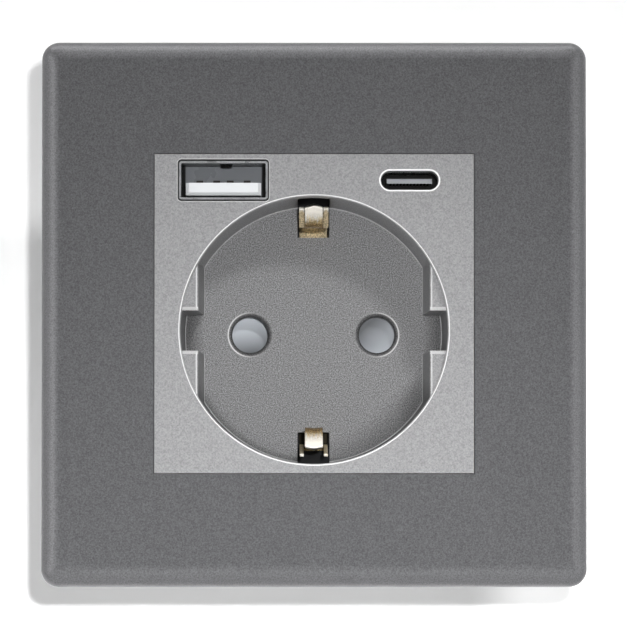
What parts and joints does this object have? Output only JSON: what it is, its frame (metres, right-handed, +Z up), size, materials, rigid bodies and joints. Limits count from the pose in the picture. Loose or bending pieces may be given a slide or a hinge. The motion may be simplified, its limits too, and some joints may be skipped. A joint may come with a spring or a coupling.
{
  "type": "usb wall socket",
  "caption": "Flush wall socket with a round plug well, side earth contacts, a wide and a small usb charging port, a silver grey plate and a square dark grey cover frame.",
  "frame": {"origin": "middle of the square cover frame on the wall plane, which is also the middle of the wall-box screw circle", "axes": "+X right seen from the front, +Z up, -Y out of the wall towards the user"},
  "size_m": [0.0804, 0.0427, 0.0804],
  "materials": {
    "frame_lacquer": "dark grey satin lacquer with fine metallic grain",
    "plate_lacquer": "silver grey satin lacquer with fine metallic grain",
    "zinc_steel": "zinc plated",
    "port_steel": "nickel plated",
    "brass": "bare spring brass",
    "gold_contact": "gold flashed",
    "white_plastic": "white moulding",
    "grey_plastic": "light bluish grey moulding",
    "black_plastic": "black moulding",
    "base_plastic": "black thermoset moulding",
    "board_laminate": "green solder mask",
    "ferrite": "matt ferrite",
    "winding_tape": "yellow tape",
    "can_aluminium": "sleeved can",
    "resistor_body": "cement coating",
    "spring_steel": "spring wire"
  },
  "bodies": {
    "insert": {"outer_frame": "frame_lacquer", "centre_plate": "plate_lacquer", "usb_a_shell": "port_steel", "usb_a_tongue": "white_plastic", "usb_a_contacts": "gold_contact", "usb_c_shell": "port_steel", "usb_c_tongue": "grey_plastic", "usb_c_contacts": "gold_contact", "usb_carrier": "black_plastic", "usb_board": "board_laminate", "board_screws": "zinc_steel", "support_ring": "zinc_steel", "ring_rivets": "zinc_steel", "socket_base": "base_plastic", "rear_cover": "base_plastic", "housing_screws": "zinc_steel", "earth_strap": "brass", "earth_bar": "brass", "contact_line": "brass", "contact_neutral": "brass", "shutter_spring": "spring_steel", "power_board": "board_laminate", "transformer_core": "ferrite", "transformer_coil": "winding_tape", "bulk_capacitor": "can_aluminium", "output_capacitor": "can_aluminium", "power_chips": "black_plastic", "fuse_resistor": "resistor_body", "board_link": "gold_contact"},
    "shutter": {"shutter_rotor": "grey_plastic"},
    "clamp_screw_line": {"terminal_screw_line": "zinc_steel"},
    "clamp_cage_line": {"terminal_cage_line": "zinc_steel"},
    "clamp_screw_earth": {"terminal_screw_earth": "zinc_steel"},
    "clamp_cage_earth": {"terminal_cage_earth": "zinc_steel"},
    "clamp_screw_neutral": {"terminal_screw_neutral": "zinc_steel"},
    "clamp_cage_neutral": {"terminal_cage_neutral": "zinc_steel"},
    "left_claw_screw": {"claw_screw_left": "zinc_steel"},
    "left_claw_nut": {"claw_nut_left": "zinc_steel"},
    "left_claw": {"claw_left": "zinc_steel"},
    "right_claw_screw": {"claw_screw_right": "zinc_steel"},
    "right_claw_nut": {"claw_nut_right": "zinc_steel"},
    "right_claw": {"claw_right": "zinc_steel"}
  },
  "joints": [
    {"name": "shutter_turn", "type": "hinge", "parent": "insert", "child": "shutter", "pos_m": [0, 0.0105, -0.0024], "axis": [0, -1, 0], "range_deg": [0, 38], "stiffness_Nm_per_rad": 0.002, "springref_deg": -11.46},
    {"name": "clamp_turn_line", "type": "hinge", "parent": "insert", "child": "clamp_screw_line", "pos_m": [-0.0135, 0.0208, -0.0145], "axis": [0, 0, 1], "range_deg": [0, 1873]},
    {"name": "clamp_travel_line", "type": "slide", "parent": "insert", "child": "clamp_cage_line", "axis": [0, 0, -1], "range_m": [0, 0.0026]},
    {"name": "clamp_turn_earth", "type": "hinge", "parent": "insert", "child": "clamp_screw_earth", "pos_m": [0, 0.0208, -0.0197], "axis": [0, 0, 1], "range_deg": [0, 1873]},
    {"name": "clamp_travel_earth", "type": "slide", "parent": "insert", "child": "clamp_cage_earth", "axis": [0, 0, -1], "range_m": [0, 0.0026]},
    {"name": "clamp_turn_neutral", "type": "hinge", "parent": "insert", "child": "clamp_screw_neutral", "pos_m": [0.0135, 0.0208, -0.0145], "axis": [0, 0, 1], "range_deg": [0, 1873]},
    {"name": "clamp_travel_neutral", "type": "slide", "parent": "insert", "child": "clamp_cage_neutral", "axis": [0, 0, -1], "range_m": [0, 0.0026]},
    {"name": "claw_turn_left", "type": "hinge", "parent": "insert", "child": "left_claw_screw", "pos_m": [-0.0246, 0, -0.006], "axis": [0, 1, 0], "range_deg": [0, 2660]},
    {"name": "claw_nut_travel_left", "type": "slide", "parent": "insert", "child": "left_claw_nut", "axis": [0, -1, 0], "range_m": [0, 0.00369]},
    {"name": "claw_spread_left", "type": "slide", "parent": "insert", "child": "left_claw", "axis": [-0.5736, -0.8192, 0], "range_m": [0, 0.0045]},
    {"name": "claw_turn_right", "type": "hinge", "parent": "insert", "child": "right_claw_screw", "pos_m": [0.0246, 0, -0.006], "axis": [0, 1, 0], "range_deg": [0, 2660]},
    {"name": "claw_nut_travel_right", "type": "slide", "parent": "insert", "child": "right_claw_nut", "axis": [0, -1, 0], "range_m": [0, 0.00369]},
    {"name": "claw_spread_right", "type": "slide", "parent": "insert", "child": "right_claw", "axis": [0.5736, -0.8192, 0], "range_m": [0, 0.0045]}
  ],
  "couplings": [
    {"joint": "clamp_turn_line", "follows": "clamp_travel_line", "rad_per_m": 12566},
    {"joint": "clamp_turn_earth", "follows": "clamp_travel_earth", "rad_per_m": 12566},
    {"joint": "clamp_turn_neutral", "follows": "clamp_travel_neutral", "rad_per_m": 12566},
    {"joint": "claw_turn_left", "follows": "claw_nut_travel_left", "rad_per_m": 12566},
    {"joint": "claw_spread_left", "follows": "claw_nut_travel_left", "ratio": 1.2208},
    {"joint": "claw_turn_right", "follows": "claw_nut_travel_right", "rad_per_m": 12566},
    {"joint": "claw_spread_right", "follows": "claw_nut_travel_right", "ratio": 1.2208}
  ]
}
